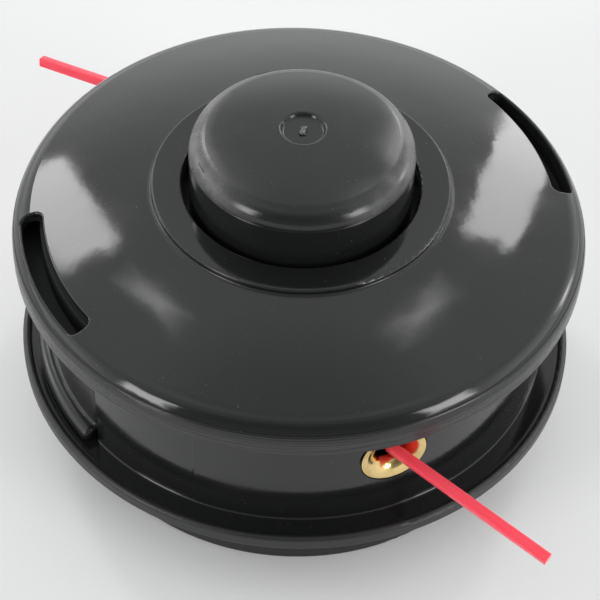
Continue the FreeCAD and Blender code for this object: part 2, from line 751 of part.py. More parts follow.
def make_eyelet(label, side):
    """Brass bell-mouth eyelet pressed into the drum from outside."""
    body = new_body(label)
    face = s.drum_radius - s.eyelet_inset
    throat = face - s.eyelet_flare
    tail = throat - s.eyelet_tail
    angle = s.eyelet_angle + side
    sketch = new_sketch(body, label + "_outline", plane="XY_Plane", turn=angle, lift=eyelet_z)
    outline(sketch, [
        (tail, s.eyelet_throat + s.eyelet_tail, s.eyelet_tail, 1),
        (throat, s.eyelet_throat, s.eyelet_flare, 1),
        (face, s.eyelet_throat + s.eyelet_flare), (face, s.eyelet_radius),
        (face - s.eyelet_rim, s.eyelet_radius), (face - s.eyelet_rim, s.eyelet_body),
        (tail, s.eyelet_body)])
    bell = body.newObject("PartDesign::Revolution", label + "_bell")
    bell.Profile = sketch
    bell.ReferenceAxis = (sketch, ["H_Axis"])
    body.Tip = bell
    return body


def make_nut():
    """Steel drive nut with its thread core and a lead-in; the fine thread is left smooth."""
    prism = doc.addObject("Part::Prism", "nut_hexagon")
    prism.Polygon = 6
    bind(prism, "Circumradius", nut_corner)
    bind(prism, "Height", s.nut_length - s.seat_gap)
    bind(prism, ".Placement.Base.z", ring_top)
    bore = doc.addObject("Part::Cylinder", "nut_bore")
    bind(bore, "Radius", s.thread_core / 2)
    bind(bore, "Height", s.nut_length)
    bind(bore, ".Placement.Base.z", ring_top)
    lead_in = doc.addObject("Part::Cone", "nut_lead_in")
    bind(lead_in, "Radius1", s.thread_core / 2 + s.thread_lead_in)
    bind(lead_in, "Radius2", s.thread_core / 2)
    bind(lead_in, "Height", s.thread_lead_in)
    bind(lead_in, ".Placement.Base.z", ring_top)
    tool = doc.addObject("Part::Fuse", "nut_thread_core")
    tool.Base, tool.Tool = bore, lead_in
    nut = doc.addObject("Part::Cut", "drive_nut")
    nut.Base, nut.Tool = prism, tool
    nut.Label = "drive_nut"
    return nut


def make_spring():
    """Open coil compression spring between its two washers."""
    radius = spring_inner.value + s.spring_wire.value / 2
    low = seat_top.value + s.seat_gap.value + s.spring_wire.value / 2
    high = thrust_low.value - s.seat_gap.value - s.spring_wire.value / 2
    helix = Part.makeHelix((high - low) / s.spring_turns.value, high - low, radius)
    section = Part.Wire(Part.makeCircle(
        s.spring_wire.value / 2, FreeCAD.Vector(radius, 0, 0), FreeCAD.Vector(0, 1, 0)))
    spring = doc.addObject("Part::Feature", "feed_spring")
    spring.Shape = Part.Wire(helix).makePipeShell([section], True, True)
    spring.Placement = FreeCAD.Placement(FreeCAD.Vector(0, 0, low), FreeCAD.Rotation())
    spring.Label = "feed_spring"
    return spring


def make_line_end(label, route):
    """One free end of the square line, straight from the eyelet's throat to its cut tip."""
    body = new_body(label)
    sketch = new_sketch(body, label + "_section", plane="XY_Plane")
    half = s.line_width / 2
    side = half - s.line_corner
    outline(sketch, [
        (side, -half, s.line_corner, 1), (half, -side), (half, side, s.line_corner, 1), (side, half),
        (-side, half, s.line_corner, 1), (-half, side), (-half, -side, s.line_corner, 1), (-side, -half)])
    pad = body.newObject("PartDesign::Pad", label + "_length")
    pad.Profile = sketch
    pad.Length = route["length"]
    body.Tip = pad
    axis_angle = math.radians(s.eyelet_angle.value + route["side"])
    outwards = FreeCAD.Vector(math.cos(axis_angle), math.sin(axis_angle), 0)
    beside = FreeCAD.Vector(-outwards.y, outwards.x, 0)
    throat = s.drum_radius.value - s.eyelet_inset.value - s.eyelet_flare.value
    level = FreeCAD.Vector(0, 0, eyelet_z.value - route["below"])
    start = outwards * throat + beside * route["beside"] + level
    heading = FreeCAD.Rotation(FreeCAD.Vector(0, 0, 1), math.degrees(axis_angle) + route["turn"])
    dip = FreeCAD.Rotation(FreeCAD.Vector(0, 1, 0), 90 + route["droop"])
    roll = FreeCAD.Rotation(FreeCAD.Vector(0, 0, 1), route["roll"])
    body.Placement = FreeCAD.Placement(start, heading.multiply(dip).multiply(roll))
    tip = body.Placement.multVec(FreeCAD.Vector(0, 0, route["length"]))
    print(label, "starts", [round(c, 2) for c in start], "ends", [round(c, 2) for c in tip])
    return body


parts = [
    make_housing(),
    make_cover(),
    make_spool(),
    make_knob(),
    make_winding("line_winding_lower", lower_flange_high, middle_low),
    make_winding("line_winding_upper", middle_high, upper_flange_low),
    make_eyelet("eyelet_front", 0),
    make_eyelet("eyelet_rear", 180),
    make_nut(),
    ring("nut_retaining_ring", s.ring_bore, ring_radius, s.hub_lift, s.ring_thick - s.seat_gap),
    ring("spring_seat_washer", guide_bore, spring_outer + s.washer_margin,
         floor_top + s.seat_gap, s.seat_thick),
    ring("thrust_washer", guide_bore, spring_outer + s.washer_margin, thrust_low, s.thrust_thick),
    make_spring(),
]
for line_label, line_route in LINE_ENDS.items():
    parts.append(make_line_end(line_label, line_route))

doc.recompute()
failed = [thing.Name for thing in doc.Objects if "Invalid" in thing.State or "Error" in thing.State]
for part in parts:
    if part.Shape.isNull() or not part.Shape.isValid() or len(part.Shape.Solids) != 1:
        failed.append(part.Label)
if failed:
    raise RuntimeError("not built: %s" % ", ".join(failed))

os.makedirs("parts", exist_ok=True)
for part in parts:
    part.Shape.exportStep("parts/%s.step" % part.Label)
    box = part.Shape.BoundBox
    print("%-20s %9.1f mm3   z %6.2f to %6.2f" % (part.Label, part.Shape.Volume, box.ZMin, box.ZMax))
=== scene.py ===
import math
import random

import bmesh
import bpy
from mathutils import Matrix, Vector


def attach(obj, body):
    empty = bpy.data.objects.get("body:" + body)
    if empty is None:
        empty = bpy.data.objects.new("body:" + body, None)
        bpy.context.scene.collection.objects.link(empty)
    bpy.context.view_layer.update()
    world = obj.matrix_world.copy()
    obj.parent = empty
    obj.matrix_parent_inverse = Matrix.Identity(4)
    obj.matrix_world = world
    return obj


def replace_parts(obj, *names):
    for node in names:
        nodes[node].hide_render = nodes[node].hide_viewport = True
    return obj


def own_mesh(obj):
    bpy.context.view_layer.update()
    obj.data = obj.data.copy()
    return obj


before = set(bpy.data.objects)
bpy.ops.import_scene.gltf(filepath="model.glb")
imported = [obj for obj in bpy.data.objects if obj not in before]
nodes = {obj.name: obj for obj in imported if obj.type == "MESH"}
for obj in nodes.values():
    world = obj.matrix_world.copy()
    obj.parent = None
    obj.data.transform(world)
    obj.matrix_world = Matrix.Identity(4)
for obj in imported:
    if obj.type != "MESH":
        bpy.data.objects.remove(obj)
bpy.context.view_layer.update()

# Looks of the bump feed trimmer head. Metres, in the frame of the solids: Z is the drive axis, knob up.

MM = 0.001

# Camera of the photograph, in axes that are turned from the head's own about Z
PHOTO_TURN = math.radians(-24.4)
CAMERA_DISTANCE = 0.450
CAMERA_ELEVATION = math.radians(47.73)
CAMERA_ROLL = math.radians(2.4)
CAMERA_LENS_MM = 113.3
CAMERA_SENSOR_MM = 36.0
CAMERA_CLIP_START = 10 * MM
VIEW_CENTRE = Vector((0.00085, 0.0, 0.02875))

# Heights and radii that the finishes refer to
KNOB_RADIUS = 25.0 * MM
KNOB_ROUND = 4.8 * MM
KNOB_ROUND_FOOT = 77.1 * MM
RIM_BOTTOM = 52.3 * MM
RIM_BAND_TOP = 58.0 * MM
RING_RADIUS = 33.5 * MM
LIP_INNER = 62.0 * MM
SLOT_OUTER = 62.6 * MM
SLOT_MOUTH = 61.0 * MM
FLANGE_FLOOR = 21.6 * MM
DRUM_TOP = 52.0 * MM

# Width over which one finish passes into the next
SOFT_EDGE = 1.0 * MM

# Parting lines of the mould on the drum
PARTING_PLANES = (math.radians(45), math.radians(-45))
PARTING_REACH = 0.5 * MM

# Torn stub of the moulding gate in the knob's dimple
DIMPLE_FLOOR = 83.18 * MM
NUB_SIZE = Vector((0.85, 1.3, 0.58)) * MM
NUB_LIFT = 0.26 * MM
NUB_BEND = 0.5 * MM
NUB_TEAR = 0.14
NUB_SEED = 7

# Square trimmer line, with the route of each free end from the eyelet's throat to the cut tip
LINE_WIDTH = 2.4 * MM
LINE_CORNER = 0.4 * MM
NEAR_EYELET_WIDTHS = 6
LINE_ROUTES = {
    "line_end_front": {"start": (-1.32, -54.79, 38.6), "tip": (19.34, -90.86, 33.35), "roll": 17.0},
    "line_end_rear": {"start": (1.72, 54.77, 38.8), "tip": (-31.93, 98.16, 34.19), "roll": 12.0},
}

# Drive nut with its left-hand thread
NUT_FLATS = 17.0 * MM
NUT_LOW = 2.6 * MM
NUT_HIGH = 16.55 * MM
NUT_CHAMFER = 0.7 * MM
THREAD_CORE = 4.33 * MM
THREAD_DEPTH = 0.6 * MM
THREAD_PITCH = 1.25 * MM
THREAD_LEAD_IN = 1.0 * MM

# Colours of dust, of the knob's rubbed edge with its painted sheen, of the line, loose and wound, the wound
# one painted darker as shade, and of the eyelets
DUST_GREY = (0.35, 0.35, 0.34, 1.0)
HAZE_AND_SHEEN_GREY = (0.17, 0.17, 0.165, 1.0)
LINE_RED = (0.97, 0.042, 0.072, 1.0)
LINE_PALE_RED = (1.0, 0.12, 0.17, 1.0)
SHADED_WOUND_RED = (0.50, 0.006, 0.018, 1.0)
SHADED_WOUND_PALE_RED = (0.74, 0.02, 0.04, 1.0)
BRASS = (0.86, 0.66, 0.30, 1.0)
TARNISHED_BRASS = (0.62, 0.43, 0.17, 1.0)

# How deep red, green and blue light go in the line, compared with red
RED_DEPTHS = (1.0, 0.25, 0.2)

# Drawing marks of the line: repeats per metre along it and round it
DRAWING_MARKS = (60.0, 2500.0, 1.0)

# Most values of a noise lie between these
NOISE_LOW = 0.3
NOISE_HIGH = 0.7

# Studio floor, with the distances from the axis between which its painted light near the head gives way to
# greyer board
FLOOR_SIZE = 6.0
FLOOR_CLOSE = 66 * MM
FLOOR_FAR = 115 * MM

# White tent: what it gains low down, and what is left of it overhead and in front of the head
TENT_COLOUR = (0.985, 0.995, 1.0, 1.0)
TENT_LOW_GAIN = 0.8
TENT_OVERHEAD = 0.6
TENT_FRONT = 0.15

# Middle of the head, which the studio's lights face, and their distance from the origin
HEAD_MIDDLE = (0.0, 0.0, 0.05)
LIGHT_DISTANCE = 1.1

# Share of a softbox over which the borders of its cloth wave
CLOTH_WAVES = 0.2


class Nodes:
    """A node tree under construction."""

    def __init__(self, tree):
        self.tree = tree

    def locate(self, place):
        """Take a socket as the place that the textures are drawn at."""
        self.place = place
        parts = self.node("ShaderNodeSeparateXYZ", {0: place})
        self.x, self.y, self.z = parts.outputs

    def node(self, kind, inputs=None, **settings):
        """A node with its settings, fed with sockets or plain values."""
        node = self.tree.nodes.new(kind)
        for name, value in settings.items():
            setattr(node, name, value)
        for key, value in (inputs or {}).items():
            self.feed(node.inputs[key], value)
        return node

    def feed(self, socket, value):
        """Link a socket to another one, or give it a plain value."""
        if isinstance(value, bpy.types.NodeSocket):
            self.tree.links.new(value, socket)
        else:
            socket.default_value = value

    def calc(self, operation, first, second=0.0):
        """One step of arithmetic."""
        return self.node("ShaderNodeMath", {0: first, 1: second}, operation=operation).outputs[0]

    def joined(self, operation, values):
        """Several values joined into one by the same operation."""
        total = values[0]
        for value in values[1:]:
            total = self.calc(operation, total, value)
        return total

    def raised(self, value, mask, amount):
        """A value with an amount added where a mask shows."""
        return self.calc("ADD", value, self.calc("MULTIPLY", mask, amount))

    def apart(self, value, target):
        """How far a value is from a target, to either side."""
        return self.calc("ABSOLUTE", self.calc("SUBTRACT", value, target))

    def along(self, direction):
        """How far the place lies along a direction."""
        inputs = {0: self.place, 1: direction}
        return self.node("ShaderNodeVectorMath", inputs, operation="DOT_PRODUCT").outputs["Value"]

    def noise(self, scale, detail=2.0, place=None):
        """Cloudy values between 0 and 1."""
        inputs = {"Vector": place or self.place, "Scale": scale, "Detail": detail}
        return self.node("ShaderNodeTexNoise", inputs).outputs["Fac"]

    def stretched(self, scale, turn=(0.0, 0.0, 0.0)):
        """The place, turned and scaled differently along each axis."""
        inputs = {"Vector": self.place, "Rotation": turn, "Scale": scale}
        return self.node("ShaderNodeMapping", inputs, vector_type="TEXTURE").outputs[0]

    def span(self, value, low, high, to_low=0.0, to_high=1.0):
        """Map a range smoothly onto another, and hold the ends."""
        inputs = {"Value": value, "From Min": low, "From Max": high, "To Min": to_low, "To Max": to_high}
        return self.node("ShaderNodeMapRange", inputs, interpolation_type="SMOOTHSTEP").outputs["Result"]

    def uneven(self, noise, to_low, to_high):
        """Spread the common values of a noise over a range."""
        return self.span(noise, NOISE_LOW, NOISE_HIGH, to_low, to_high)

    def mixed(self, share, first, second):
        """Mix two colours."""
        node = self.node("ShaderNodeMix", data_type="RGBA")
        self.feed(node.inputs["Factor"], share)
        self.feed(node.inputs[6], first)
        self.feed(node.inputs[7], second)
        return node.outputs[2]


class Surface(Nodes):
    """A procedural material."""

    def __init__(self, name, **settings):
        self.material = bpy.data.materials.new(name)
        self.material.use_nodes = True
        super().__init__(self.material.node_tree)
        self.shader = self.tree.nodes["Principled BSDF"]
        for socket, value in settings.items():
            self.shader.inputs[socket.replace("_", " ")].default_value = value
        self.coordinates = self.node("ShaderNodeTexCoord")
        self.locate(self.coordinates.outputs["Object"])

    def from_plane(self, azimuth):
        """Distance from the plane through the axis at an azimuth."""
        across = (math.sin(azimuth), -math.cos(azimuth), 0.0)
        return self.calc("ABSOLUTE", self.along(across))

    def from_axis(self):
        """Distance from the drive axis."""
        level = self.node("ShaderNodeCombineXYZ", {0: self.x, 1: self.y}).outputs[0]
        return self.node("ShaderNodeVectorMath", {0: level}, operation="LENGTH").outputs["Value"]

    def bump(self, height, distance, strength=1.0, normal=None):
        """Relief from a height, on top of the relief given as normal."""
        inputs = {"Height": height, "Distance": distance, "Strength": strength}
        if normal is not None:
            inputs["Normal"] = normal
        return self.node("ShaderNodeBump", inputs).outputs[0]

    def wear(self, colour, roughness, normal):
        """Join the finished colour, roughness and relief to the shader."""
        self.feed(self.shader.inputs["Base Color"], colour)
        self.feed(self.shader.inputs["Roughness"], roughness)
        self.feed(self.shader.inputs["Normal"], normal)
        return self.material


def grey(level):
    """A plain grey."""
    return (level, level, level, 1.0)


def cool_grey(level):
    """The slightly cool grey of black nylon, at a brightness."""
    return (level * 0.96, level, level * 1.02, 1.0)


def nylon_base(surface, dark, pale, smooth, dull, flow_strength):
    """Clouded colour, uneven gloss and orange peel of moulded nylon, with dust and fine rubs."""
    cloud = surface.noise(scale=38, detail=4)
    colour = surface.mixed(cloud, cool_grey(dark), cool_grey(pale))
    dust = surface.span(surface.noise(scale=2100, detail=1), 0.77, 0.80)
    colour = surface.mixed(surface.calc("MULTIPLY", dust, 0.22), colour, DUST_GREY)
    rub_place = surface.stretched(scale=(0.006, 0.0006, 0.002), turn=(0.3, 0.2, 0.9))
    rubs = surface.span(surface.noise(scale=4, detail=5, place=rub_place), 0.62, 0.76)
    gloss = surface.uneven(surface.noise(scale=75, detail=5), smooth, dull)
    gloss = surface.raised(gloss, rubs, 0.06)
    gloss = surface.raised(gloss, dust, 0.3)
    peel = surface.bump(surface.noise(scale=620), distance=0.01 * MM, strength=0.4)
    flow = surface.bump(surface.noise(scale=45), distance=0.6 * MM, strength=flow_strength, normal=peel)
    return colour, gloss, flow


def dusty(surface, colour, gloss, mask):
    """Nylon that dust makes greyer, rougher and less shiny where a mask shows."""
    shine = surface.span(mask, 0.0, 1.0, to_low=0.5, to_high=0.12)
    surface.feed(surface.shader.inputs["Specular IOR Level"], shine)
    return surface.mixed(mask, colour, cool_grey(0.022)), surface.raised(gloss, mask, 0.40)


def cover_finish():
    """Glossy nylon: mould lines on the rim band, dust in the slots, satin on ring and latch tabs."""
    surface = Surface("cover_nylon", IOR=1.5)
    colour, gloss, relief = nylon_base(
        surface, dark=0.009, pale=0.012, smooth=0.05, dull=0.10, flow_strength=0.2)
    out = surface.from_axis()
    in_slots = surface.joined("MULTIPLY", (
        surface.span(out, SLOT_OUTER + 0.4 * MM, SLOT_OUTER),
        surface.span(surface.z, SLOT_MOUTH, SLOT_MOUTH - 1.5 * MM),
        surface.span(surface.z, RIM_BOTTOM, RIM_BOTTOM + SOFT_EDGE)))
    colour, gloss = dusty(surface, colour, gloss, in_slots)
    on_rim = surface.joined("MULTIPLY", (
        surface.span(surface.z, RIM_BAND_TOP, RIM_BAND_TOP - 0.6 * MM),
        surface.span(surface.z, RIM_BOTTOM - SOFT_EDGE, RIM_BOTTOM)))
    line_place = surface.stretched(scale=(0.03, 0.03, 0.00035))
    mould_lines = surface.calc("MULTIPLY", surface.noise(scale=1.0, detail=3, place=line_place), on_rim)
    relief = surface.bump(mould_lines, distance=0.25 * MM, strength=0.8, normal=relief)
    on_ring = surface.span(surface.apart(out, RING_RADIUS), 1.0 * MM, 0.7 * MM)
    on_tabs = surface.span(surface.z, RIM_BOTTOM - SOFT_EDGE, RIM_BOTTOM - 3 * SOFT_EDGE)
    for mask, dulling in ((on_ring, 0.15), (on_tabs, 0.22), (on_rim, 0.14)):
        gloss = surface.raised(gloss, mask, dulling)
    return surface.wear(colour, gloss, relief)


def housing_finish():
    """Smooth nylon with the mould's parting lines on the drum, satin on the lip, dusty under the cover."""
    surface = Surface("housing_nylon", IOR=1.5)
    colour, gloss, relief = nylon_base(
        surface, dark=0.009, pale=0.013, smooth=0.08, dull=0.15, flow_strength=0.08)
    covered = surface.span(surface.z, RIM_BOTTOM, RIM_BOTTOM + SOFT_EDGE)
    colour, gloss = dusty(surface, colour, gloss, covered)
    on_lip = surface.span(surface.from_axis(), LIP_INNER, LIP_INNER + SOFT_EDGE)
    gloss = surface.raised(gloss, on_lip, 0.28)
    lines = [surface.span(surface.from_plane(azimuth), PARTING_REACH, 0.0) for azimuth in PARTING_PLANES]
    on_drum = surface.joined("MULTIPLY", (
        surface.span(surface.z, FLANGE_FLOOR, FLANGE_FLOOR + SOFT_EDGE),
        surface.span(surface.z, DRUM_TOP, DRUM_TOP - 0.5 * MM)))
    ridge = surface.calc("MULTIPLY", surface.joined("MAXIMUM", lines), on_drum)
    relief = surface.bump(ridge, distance=0.04 * MM, normal=relief)
    return surface.wear(colour, gloss, relief)


def knob_finish():
    """Satin nylon with a fine parting line, rubbed hazy at the sides of its rounded edge, where a paler
    painted sheen stands for the glow of the side lights.
    """
    surface = Surface("knob_nylon", IOR=1.48)
    colour, gloss, relief = nylon_base(
        surface, dark=0.010, pale=0.014, smooth=0.14, dull=0.22, flow_strength=0.15)
    edge_start = KNOB_RADIUS - KNOB_ROUND * 1.3
    outwards = surface.span(surface.from_axis(), edge_start, edge_start + KNOB_ROUND)
    upwards = surface.span(surface.z, KNOB_ROUND_FOOT, KNOB_ROUND_FOOT + 0.4 * MM)
    # The sides of the rounded edge that face the side lights get rubbed roughness and a paler painted sheen
    # in the colour
    lit_sides = surface.span(surface.from_plane(PHOTO_TURN - math.pi / 2), KNOB_RADIUS * 0.3, KNOB_RADIUS * 0.95)
    clouds = surface.span(surface.noise(scale=130), 0.35, 0.65, to_low=0.4)
    grain = surface.uneven(surface.noise(scale=2400), 0.75, 1.0)
    haze_and_sheen = surface.joined("MULTIPLY", (clouds, grain, outwards, upwards, lit_sides))
    colour = surface.mixed(surface.calc("MULTIPLY", haze_and_sheen, 0.8), colour, HAZE_AND_SHEEN_GREY)
    gloss = surface.raised(gloss, haze_and_sheen, 0.16)
    parting_line = surface.span(surface.apart(surface.z, KNOB_ROUND_FOOT), 0.2 * MM, 0.0)
    relief = surface.bump(parting_line, distance=0.1 * MM, normal=relief)
    return surface.wear(colour, gloss, relief)


def torn_finish():
    """Nylon torn a little pale at the gate."""
    surface = Surface("torn_nylon", IOR=1.5)
    pale = surface.span(surface.noise(scale=1500, detail=3), 0.35, 0.65)
    colour = surface.mixed(pale, cool_grey(0.012), cool_grey(0.15))
    gloss = surface.span(pale, 0.0, 1.0, to_low=0.15, to_high=0.4)
    return surface.wear(colour, gloss, surface.bump(pale, distance=0.1 * MM, strength=0.6))


def spool_finish():
    """Plain satin nylon of the hidden spool."""
    surface = Surface("spool_nylon", IOR=1.5)
    base = nylon_base(surface, dark=0.030, pale=0.042, smooth=0.35, dull=0.5, flow_strength=0.25)
    return surface.wear(*base)


def line_finish():
    """Red translucent nylon with drawing marks along its length."""
    surface = Surface("line_nylon", IOR=1.53, Subsurface_Weight=0.5, Subsurface_Scale=1.6 * MM,
                      Subsurface_Radius=RED_DEPTHS, Specular_IOR_Level=0.2)
    inputs = {"Vector": surface.coordinates.outputs["UV"], "Scale": DRAWING_MARKS}
    lengthwise = surface.node("ShaderNodeMapping", inputs).outputs[0]
    marks = surface.noise(scale=1.0, detail=4, place=lengthwise)
    colour = surface.mixed(marks, LINE_RED, LINE_PALE_RED)
    gloss = surface.uneven(marks, 0.22, 0.38)
    return surface.wear(colour, gloss, surface.bump(marks, distance=0.06 * MM, strength=0.5))


def winding_finish():
    """The same red nylon, wound in close turns, painted darker than the loose line as shade inside the
    housing.
    """
    surface = Surface("winding_nylon", IOR=1.53, Subsurface_Weight=0.2, Subsurface_Scale=1.0 * MM,
                      Subsurface_Radius=RED_DEPTHS)
    turns = surface.noise(scale=1.0, place=surface.stretched(scale=(0.02, 0.02, 0.0012)))
    # Painted shade: the wound line is a darker red than the loose line
    colour = surface.mixed(turns, SHADED_WOUND_RED, SHADED_WOUND_PALE_RED)
    gloss = surface.uneven(turns, 0.3, 0.45)
    return surface.wear(colour, gloss, surface.bump(turns, distance=0.6 * MM, strength=0.6))


def brass_finish():
    """Polished brass, a little uneven and tarnished."""
    surface = Surface("eyelet_brass", Metallic=1.0)
    tarnish = surface.span(surface.noise(scale=210, detail=5), 0.45, 0.75)
    colour = surface.mixed(tarnish, BRASS, TARNISHED_BRASS)
    gloss = surface.uneven(surface.noise(scale=420, detail=3), 0.10, 0.24)
    relief = surface.bump(surface.noise(scale=1500), distance=0.03 * MM, strength=0.5)
    return surface.wear(colour, gloss, relief)


def steel_finish(name, bright, dark, smooth, dull):
    """Plated steel with fine brushing and dull spots."""
    surface = Surface(name, Metallic=1.0)
    spots = surface.span(surface.noise(scale=300, detail=5), 0.42, 0.7)
    colour = surface.mixed(spots, bright, dark)
    brush_place = surface.stretched(scale=(0.004, 0.004, 0.0003))
    brushing = surface.noise(scale=1.0, detail=3, place=brush_place)
    gloss = surface.span(brushing, 0.25, 0.75, smooth, dull)
    return surface.wear(colour, gloss, surface.bump(brushing, distance=0.05 * MM, strength=0.5))


def floor_finish():
    """Pale studio board, painted lighter near the head to soften the head's shadow, and greyer away from it.
    """
    surface = Surface("studio_board", Specular_IOR_Level=0.15)
    tone = surface.noise(scale=14, detail=4)
    close = surface.mixed(tone, grey(0.86), grey(0.90))
    far = surface.mixed(tone, grey(0.74), grey(0.775))
    # Painted light: paler board close to the head, fading to greyer further out
    colour = surface.mixed(surface.span(surface.from_axis(), FLOOR_CLOSE, FLOOR_FAR), close, far)
    gloss = surface.uneven(tone, 0.6, 0.75)
    relief = surface.bump(surface.noise(scale=900, detail=3), distance=0.1 * MM, strength=0.2)
    return surface.wear(colour, gloss, relief)


def dress(thing, material):
    """Give a whole object one material."""
    thing.data.materials.clear()
    thing.data.materials.append(material)


def in_scene(name, data):
    """A new object in the scene."""
    thing = bpy.data.objects.new(name, data)
    bpy.context.scene.collection.objects.link(thing)
    return thing


def linked(name, mesh, body, material):
    """A new piece from a mesh, riding on a body."""
    thing = in_scene(name, mesh)
    dress(thing, material)
    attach(thing, body)
    return thing


def finished_mesh(name, shape, smooth_angle):
    """Turn a bmesh into a mesh that is smooth except at sharp edges."""
    bmesh.ops.recalc_face_normals(shape, faces=shape.faces)
    mesh = bpy.data.meshes.new(name)
    shape.to_mesh(mesh)
    shape.free()
    mesh.shade_smooth()
    mesh.set_sharp_from_angle(angle=smooth_angle)
    return mesh


def route_points(route):
    """Points read from the smooth spline of a line's route."""
    start = Vector(route["start"]) * MM
    tip = Vector(route["tip"]) * MM
    near_eyelet = start + (tip - start).normalized() * LINE_WIDTH * NEAR_EYELET_WIDTHS
    curve = bpy.data.curves.new("route", "CURVE")
    curve.dimensions = "3D"
    spline = curve.splines.new("NURBS")
    spline.points.add(2)
    for control, place in zip(spline.points, (start, near_eyelet, tip)):
        control.co = (*place, 1.0)
    spline.order_u = 3
    spline.use_endpoint_u = True
    holder = bpy.data.objects.new("route", curve)
    mesh = bpy.data.meshes.new_from_object(holder)
    points = [vertex.co.copy() for vertex in mesh.vertices]
    bpy.data.objects.remove(holder)
    bpy.data.meshes.remove(mesh)
    return points


def square_section(corner_steps=4):
    """Outline of the square line with rounded corners."""
    side = LINE_WIDTH / 2 - LINE_CORNER
    outline = []
    for quarter in range(4):
        middle = math.radians(45 + 90 * quarter)
        centre = Vector((math.copysign(side, math.cos(middle)), math.copysign(side, math.sin(middle))))
        for step in range(corner_steps + 1):
            angle = math.radians(90 * quarter + 90 * step / corner_steps)
            outline.append(centre + Vector((math.cos(angle), math.sin(angle))) * LINE_CORNER)
    return outline


def make_line(node, route, material):
    """One free line end: the square section carried along its route and cut square."""
    points = route_points(route)
    heading = (points[-1] - points[0]).normalized()
    level = heading.cross(Vector((0, 0, 1))).normalized()
    upward = level.cross(heading)
    roll = Matrix.Rotation(math.radians(route["roll"]), 3, heading)
    section = square_section()
    count = len(section)
    girth = 4 * LINE_WIDTH
    shape = bmesh.new()
    uv = shape.loops.layers.uv.new("length")
    rings = []
    for point in points:
        rings.append([shape.verts.new(point + roll @ (level * spot.x + upward * spot.y)) for spot in section])
    for place, (ring, following) in enumerate(zip(rings, rings[1:])):
        for corner in range(count):
            after = (corner + 1) % count
            face = shape.faces.new((ring[corner], ring[after], following[after], following[corner]))
            lengths = [(points[place] - points[0]).length, (points[place + 1] - points[0]).length]
            sides = [corner / count * girth, (corner + 1) / count * girth]
            places = [(lengths[0], sides[0]), (lengths[0], sides[1]),
                      (lengths[1], sides[1]), (lengths[1], sides[0])]
            for loop, where in zip(face.loops, places):
                loop[uv].uv = where
    shape.faces.new(rings[0][::-1])
    shape.faces.new(rings[-1])
    mesh = finished_mesh(node + "_nylon", shape, smooth_angle=math.radians(40))
    line = linked(node + "_nylon", mesh, "housing", material)
    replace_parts(line, node)
    return line


def vertex_ring(shape, z, radii):
    """A level ring of vertices about the axis, one for each radius."""
    ring = []
    for place, radius in enumerate(radii):
        angle = 2 * math.pi * place / len(radii)
        ring.append(shape.verts.new((radius * math.cos(angle), radius * math.sin(angle), z)))
    return ring


def thread_radius(z, share):
    """Radius of the left-hand thread at a height and a share of a turn, wider in its lead-in."""
    turn = (z / THREAD_PITCH + share) % 1.0
    groove = THREAD_DEPTH * (1 - abs(2 * turn - 1))
    lead_in = max(0.0, THREAD_LEAD_IN - (z - NUT_LOW))
    return THREAD_CORE + max(groove, lead_in)


def hexagon_radius(share, inset):
    """Radius of the nut's hexagon at a share of a turn, with its corners cut back by an inset."""
    half_side = math.radians(30)
    from_corner = (2 * math.pi * share + half_side) % (2 * half_side) - half_side
    flat = NUT_FLATS / 2 / math.cos(half_side - abs(from_corner))
    corner = NUT_FLATS / 2 / math.cos(half_side)
    return min(flat, corner - inset)


def make_threaded_nut(material, around=72, steps_per_pitch=8):
    """The drive nut with its left-hand thread, chamfered at both ends."""
    shape = bmesh.new()
    shares = [place / around for place in range(around)]
    steps = round((NUT_HIGH - NUT_LOW) / THREAD_PITCH * steps_per_pitch)
    inner = []
    for level in range(steps + 1):
        z = NUT_LOW + (NUT_HIGH - NUT_LOW) * level / steps
        inner.append(vertex_ring(shape, z, [thread_radius(z, share) for share in shares]))
    outer = []
    for z, inset in ((NUT_LOW, NUT_CHAMFER), (NUT_LOW + NUT_CHAMFER, 0.0),
                     (NUT_HIGH - NUT_CHAMFER, 0.0), (NUT_HIGH, NUT_CHAMFER)):
        outer.append(vertex_ring(shape, z, [hexagon_radius(share, inset) for share in shares]))
    loop = inner[::-1] + outer + inner[-1:]
    for ring, following in zip(loop, loop[1:]):
        for place in range(around):
            after = (place + 1) % around
            shape.faces.new((ring[place], ring[after], following[after], following[place]))
    mesh = finished_mesh("drive_nut_threaded", shape, smooth_angle=math.radians(25))
    nut = linked("drive_nut_threaded", mesh, "housing", material)
    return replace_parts(nut, "drive_nut")


def make_spring(material):
    """The feed spring, on a mesh of its own; on the real head it shortens with the bump."""
    spring = linked("feed_spring_coil", nodes["feed_spring"].data.copy(), "housing", material)
    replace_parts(spring, "feed_spring")
    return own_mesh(spring)


def make_gate_nub(material):
    """The torn stub left by the moulding gate in the knob's dimple."""
    chance = random.Random(NUB_SEED)
    shape = bmesh.new()
    bmesh.ops.create_icosphere(shape, subdivisions=3, radius=1.0)
    for vertex in shape.verts:
        bend = NUB_BEND * math.sin(math.pi * vertex.co.y)
        torn = vertex.co * NUB_SIZE * (1 + chance.uniform(-NUB_TEAR, NUB_TEAR))
        vertex.co = torn + Vector((bend, 0.0, DIMPLE_FLOOR + NUB_LIFT))
    mesh = finished_mesh("gate_nub", shape, smooth_angle=math.radians(60))
    return linked("gate_nub", mesh, "spool", material)


def in_photo_axes(thing, place, aim):
    """Put a light or camera at a place, looking at a point, both in the photograph's axes."""
    turn = Matrix.Rotation(PHOTO_TURN, 3, "Z")
    eye = turn @ Vector(place)
    look = (turn @ Vector(aim) - eye).to_track_quat("-Z", "Y")
    thing.matrix_world = Matrix.Translation(eye) @ look.to_matrix().to_4x4()


def toward(azimuth, elevation):
    """A light's place, given by its direction in degrees in the photograph's axes."""
    azimuth = math.radians(azimuth)
    elevation = math.radians(elevation)
    level = LIGHT_DISTANCE * math.cos(elevation)
    return (level * math.cos(azimuth), level * math.sin(azimuth), LIGHT_DISTANCE * math.sin(elevation))


